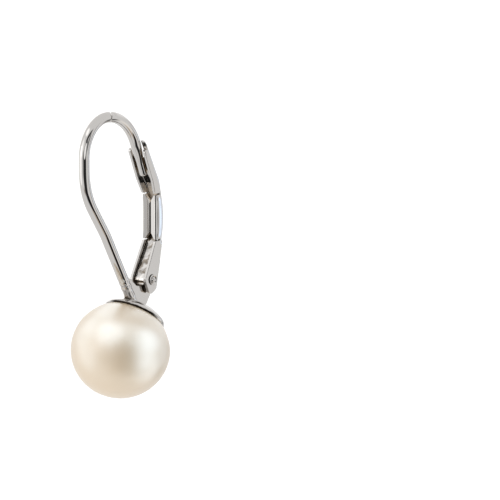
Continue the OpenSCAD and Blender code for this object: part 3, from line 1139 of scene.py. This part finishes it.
def drilled_ball(radius, bore_r, bore_len):
    """The profile of a ball with a blind hole, from the hole's floor round to the far pole."""
    chamfer, floor = 0.05, radius - bore_len
    mouth = math.degrees(math.asin(bore_r / radius))
    profile = [(floor, 0), (floor, bore_r - chamfer), (floor + chamfer, bore_r)]
    profile += [(at, bore_r) for at in np.linspace(floor + 0.5, radius * 0.985, 6)]
    profile += arc((0, 0), radius, mouth, 180, 89)
    profile[-1] = (-radius, 0)
    return profile


class EARRING_OT_pearl(bpy.types.Operator):
    """Grow the pearl and drill it for the peg"""

    bl_idname = "earring.pearl"
    bl_label = "Pearl"

    def execute(self, context):
        sizes = context.scene.earring_pearl
        profile = drilled_ball(sizes.diameter / 2 / MM, bore_r=0.45, bore_len=3.3)
        verts, faces = turned(profile, PEARL_MID, CUP_AXIS, 144)
        verts = np.array(verts)
        out = verts - PEARL_MID
        # It bulges to all sides below the cup, and stays round inside it.
        cup_level, fade = 2.6, 1.5
        wider = 1 + sizes.bulge * eased((cup_level - out @ CUP_AXIS) / fade)
        verts[:, :2] = PEARL_MID[:2] + out[:, :2] * wider[:, None]
        pearl = add_piece("pearl_body", verts, faces, cream_nacre(), "hook", sharp=40)
        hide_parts("pearl")
        return {"FINISHED"}


# Stage


def towards(azimuth, elevation):
    """The direction of an angle round the earring from its front, and above the horizon."""
    a, e = math.radians(azimuth), math.radians(elevation)
    return Vector((math.sin(a) * math.cos(e), -math.cos(a) * math.cos(e), math.sin(e)))


# The light tent's patches, painted over each other: azimuth and elevation of the middle, half width
# and half height in degrees, tilt, softness of the edge, brightness, and tint.
TENT_PATCHES = [
    ("left wall", -26, 20, 34, 34, 0, 0.7, 1.6, "FFFFFF"),
    ("back, right", -176, 14, 40, 26, 0, 0.8, 1.1, "FFFFFF"),
    ("right, low", 121, -40, 36, 30, 0, 0.8, 1.2, "FFFCF8"),
    ("top, left", -10, 62, 34, 14, 0, 0.5, 1.7, "FFFFFF"),
    ("curtain", 130, -8, 8, 18, 0, 0.6, 0.35, "FFFFFF"),
    ("back wall", 172, -6, 18, 22, 0, 0.5, 0.7, "FFFFFF"),
    ("window", 154, -9, 4, 8, 0, 0.5, 2.0, "D8E8FF"),
    ("left, low", -70, -10, 14, 16, 0, 0.6, 1.25, "FFFFFF"),
    ("left curtain", -4, -10, 12, 14, 0, 0.6, 0.7, "FFFFFF"),
    ("table shade", 158, -31, 16, 12, 0, 0.6, 0.15, "FFFFFF"),
    ("table edge", 100, -56, 34, 13, 0, 0.8, 0.6, "FFE6C8"),
    ("low shade", 18, -38, 28, 9, 0, 0.9, 0.4, "FFF4E6"),
    ("open side", 52, -8, 36, 56, -10, 0.3, 0.03, "FFFFFF"),
    ("top card", 68, 37, 38, 10, -8, 0.4, 0.08, "FFFFFF"),
    ("right card", 94, 12, 12, 16, 0, 0.5, 0.12, "FFFFFF"),
    ("low card", 74, -40, 38, 13, 0, 0.3, 0.02, "FFFFFF"),
    ("beside the lens", 18, 0, 13, 22, 0, 0.6, 0.5, "FFFFFF"),
]
TENT_LEVEL = 0.95


def light_tent(context):
    """A light tent: even and near white, with brighter walls and dark openings near the lens."""
    world = bpy.data.worlds.new("light_tent")
    context.scene.world = world
    world.use_nodes = True
    tree = world.node_tree
    tree.nodes.clear()
    facing = add_node(tree, "ShaderNodeTexCoord").outputs["Generated"]
    level = (TENT_LEVEL, TENT_LEVEL, TENT_LEVEL, 1)
    for name, azimuth, elevation, wide, high, tilt, edge, bright, tint in TENT_PATCHES:
        out = towards(azimuth, elevation)
        right = Vector((0, 0, 1)).cross(out).normalized()
        turn = Matrix((right, out.cross(right), out)).transposed()
        turn = turn @ Matrix.Rotation(math.radians(tilt), 3, "Z")
        sizes = (math.sin(math.radians(wide)), math.sin(math.radians(high)), 1)
        inside = add_node(
            tree, "ShaderNodeMapping", {"vector_type": "TEXTURE", "label": name},
            {"Vector": facing, "Location": out, "Rotation": turn.to_euler(), "Scale": sizes},
        )
        depth = add_node(
            tree, "ShaderNodeTexGradient", {"gradient_type": "SPHERICAL"}, {0: inside.outputs[0]}
        )
        share = add_node(
            tree, "ShaderNodeMapRange", {"interpolation_type": "SMOOTHSTEP"},
            {0: depth.outputs[1], 1: 0.0, 2: edge, 3: 0.0, 4: 1.0},
        )
        colour = [bright * part for part in linear(tint)]
        level = add_node(
            tree, "ShaderNodeMix", {"data_type": "RGBA"},
            {0: share.outputs[0], 6: level, 7: (*colour, 1)},
        ).outputs[2]
    tent = add_node(tree, "ShaderNodeBackground", {}, {"Color": level, "Strength": 1.0})
    white = add_node(
        tree, "ShaderNodeBackground", {}, {"Color": (1, 1, 1, 1), "Strength": 1.0}
    )
    seen = add_node(tree, "ShaderNodeLightPath").outputs["Is Camera Ray"]
    both = add_node(
        tree, "ShaderNodeMixShader", {}, {0: seen, 1: tent.outputs[0], 2: white.outputs[0]}
    )
    add_node(tree, "ShaderNodeOutputWorld", {}, {"Surface": both.outputs[0]})


# Soft lamps that light only the pearl, or only the metal: azimuth, elevation, angle across and
# brightness as the lamp is seen.
PEARL_LAMPS = [
    ("behind_left_high", -144, 50, 56, 1.25),
    ("left_high", -72, 50, 56, 1),
    ("front_high", 0, 50, 56, 2.25),
    ("right_high", 72, 50, 56, 1),
    ("left", -76, 22, 48, 1),
    ("right", 92, 22, 48, 1.5),
    ("far_right", 120, 22, 48, 2.25),
    ("behind", 176, 22, 48, 0.5),
    ("left_low", -48, -8, 48, 1),
    ("right_low", 92, -8, 48, 1.5),
    ("behind_right_low", 148, -8, 48, 0.5),
    ("left_lower", -32, -36, 56, 0.25),
    ("right_lower", 76, -36, 56, 0.25),
    ("far_right_lower", 112, -36, 56, 1.5),
]
# These give the pearl's body its glow and leave the lustre as it is.
PEARL_FILL = [("below", 30, -60, 60, 1.25), ("front", 36, 0, 60, 0.5)]
METAL_LAMPS = [
    ("round_the_lens", 52, 9, 34, 1.4),
    ("back_left", -119, 6, 60, 0.6),
    ("left", -36, -2, 50, 0.6),
]


def soft_lamps(scene, lit_by, pieces, lamps, tint="FFFFFF", in_gloss=True, in_body=True):
    """Soft lamps that light only some pieces. Their gloss mirrors the lamps where in_gloss is true,
    and their body colour is lit by them where in_body is true."""
    lit = bpy.data.collections.new(lit_by)
    for piece in pieces:
        lit.objects.link(bpy.data.objects[piece])
    for name, azimuth, elevation, angle, bright in lamps:
        lamp = bpy.data.lights.new(f"{lit_by}_{name}", "SUN")
        lamp.angle = math.radians(angle)
        lamp.energy = bright * math.pi * math.sin(lamp.angle / 2) ** 2
        lamp.color = linear(tint)
        holder = bpy.data.objects.new(lamp.name, lamp)
        scene.collection.objects.link(holder)
        holder.rotation_euler = towards(azimuth, elevation).to_track_quat("Z", "Y").to_euler()
        holder.visible_glossy = in_gloss
        holder.visible_diffuse = in_body
        holder.light_linking.receiver_collection = lit


METAL_PIECES = [
    "ear_wire", "pearl_cup", "hinge_plate", "lever_sheet", "lever_spring_leaf", "hinge_rivet_pin"
]
SENSOR_MM = 36


class EARRING_OT_studio(bpy.types.Operator):
    """Set the floor, the light tent and the camera"""

    bl_idname = "earring.studio"
    bl_label = "Studio"

    def execute(self, context):
        scene = context.scene
        settings = scene.earring_studio
        scene.view_settings.view_transform = "Standard"
        light_tent(context)
        soft_lamps(
            scene, "pearl_lamp", ["pearl_body"], PEARL_LAMPS, tint="D6EDFF", in_body=False
        )
        soft_lamps(scene, "pearl_fill", ["pearl_body"], PEARL_FILL, in_gloss=False)
        soft_lamps(scene, "metal_lamp", METAL_PIECES, METAL_LAMPS)
        studio_floor(scene, PEARL_LOW.z - settings.floor_drop)

        camera = bpy.data.cameras.new("photo_camera")
        camera.lens = settings.lens
        camera.sensor_width = SENSOR_MM
        camera.clip_start, camera.clip_end = 0.01, 10
        holder = bpy.data.objects.new("photo_camera", camera)
        scene.collection.objects.link(holder)
        place_camera(holder, settings)
        scene.camera = holder
        return {"FINISHED"}


def studio_floor(scene, height, radius=1.5, steps=64):
    """A round white floor. It is only a backdrop, so that the tent lights the earring from below as
    well."""
    mesh = bpy.data.meshes.new("studio_floor")
    ring = arc((0, 0), radius, 0, 360, steps)[:-1]
    mesh.from_pydata([(x, y, height) for x, y in ring], [], [tuple(range(steps))])
    floor = bpy.data.objects.new("studio_floor", mesh)
    scene.collection.objects.link(floor)
    floor.visible_glossy = floor.visible_diffuse = floor.visible_shadow = False
    # Matt vinyl, with a faint glow of its own that keeps it white.
    material, tree, shader = new_material("vinyl_white_matt")
    set_inputs(tree, shader, {
        "Base Color": (*scene.earring_colours.floor, 1), "Roughness": 0.9,
        "Emission Color": (1, 1, 1, 1), "Emission Strength": 0.2,
    })
    mesh.materials.append(material)


def place_camera(holder, settings):
    """Looks at the earring from the photo's angle, with the earring left of the middle."""
    picture_px, px_per_mm = 500, 12.2
    # The point of the earring that the camera is set by, and where the picture shows it
    target, seen_at_px = Vector((0, 2.0, -11.0)) * MM, (121.3, 252.3)
    distance = picture_px * settings.lens / (SENSOR_MM * px_per_mm) * MM
    out = towards(math.degrees(settings.azimuth), math.degrees(settings.elevation))
    right = Vector((0, 0, 1)).cross(out).normalized()
    up = out.cross(right)
    off_right, off_down = [(picture_px / 2 - px) / px_per_mm * MM for px in seen_at_px]
    aim = target + right * off_right - up * off_down
    holder.location = target + out * distance
    holder.rotation_euler = (holder.location - aim).to_track_quat("Z", "Y").to_euler()


# Panel and registration

OPERATORS = [
    EARRING_OT_ear_wire,
    EARRING_OT_cup_and_plate,
    EARRING_OT_lever,
    EARRING_OT_hinge_rivet,
    EARRING_OT_pearl,
    EARRING_OT_studio,
]


class EARRING_PT_panel(bpy.types.Panel):
    """The earring's pieces and the sizes and colours they are made with"""

    bl_idname = "EARRING_PT_panel"
    bl_label = "Leverback Pearl Earring"
    bl_space_type = "VIEW_3D"
    bl_region_type = "UI"
    bl_category = "Earring"

    def draw(self, context):
        for attribute, group in GROUPS.items():
            box = self.layout.box()
            for key in group.__annotations__:
                box.prop(getattr(context.scene, attribute), key)
        for operator in OPERATORS:
            self.layout.operator(operator.bl_idname)


def register():
    for cls in (*GROUPS.values(), *OPERATORS, EARRING_PT_panel):
        bpy.utils.register_class(cls)
    for attribute, group in GROUPS.items():
        setattr(bpy.types.Scene, attribute, PointerProperty(type=group))


def unregister():
    for attribute in GROUPS:
        delattr(bpy.types.Scene, attribute)
    for cls in reversed((*GROUPS.values(), *OPERATORS, EARRING_PT_panel)):
        bpy.utils.unregister_class(cls)


def main():
    register()
    bpy.ops.earring.ear_wire()
    bpy.ops.earring.cup_and_plate()
    bpy.ops.earring.lever()
    bpy.ops.earring.hinge_rivet()
    bpy.ops.earring.pearl()
    bpy.ops.earring.studio()


if __name__ == "__main__":
    main()
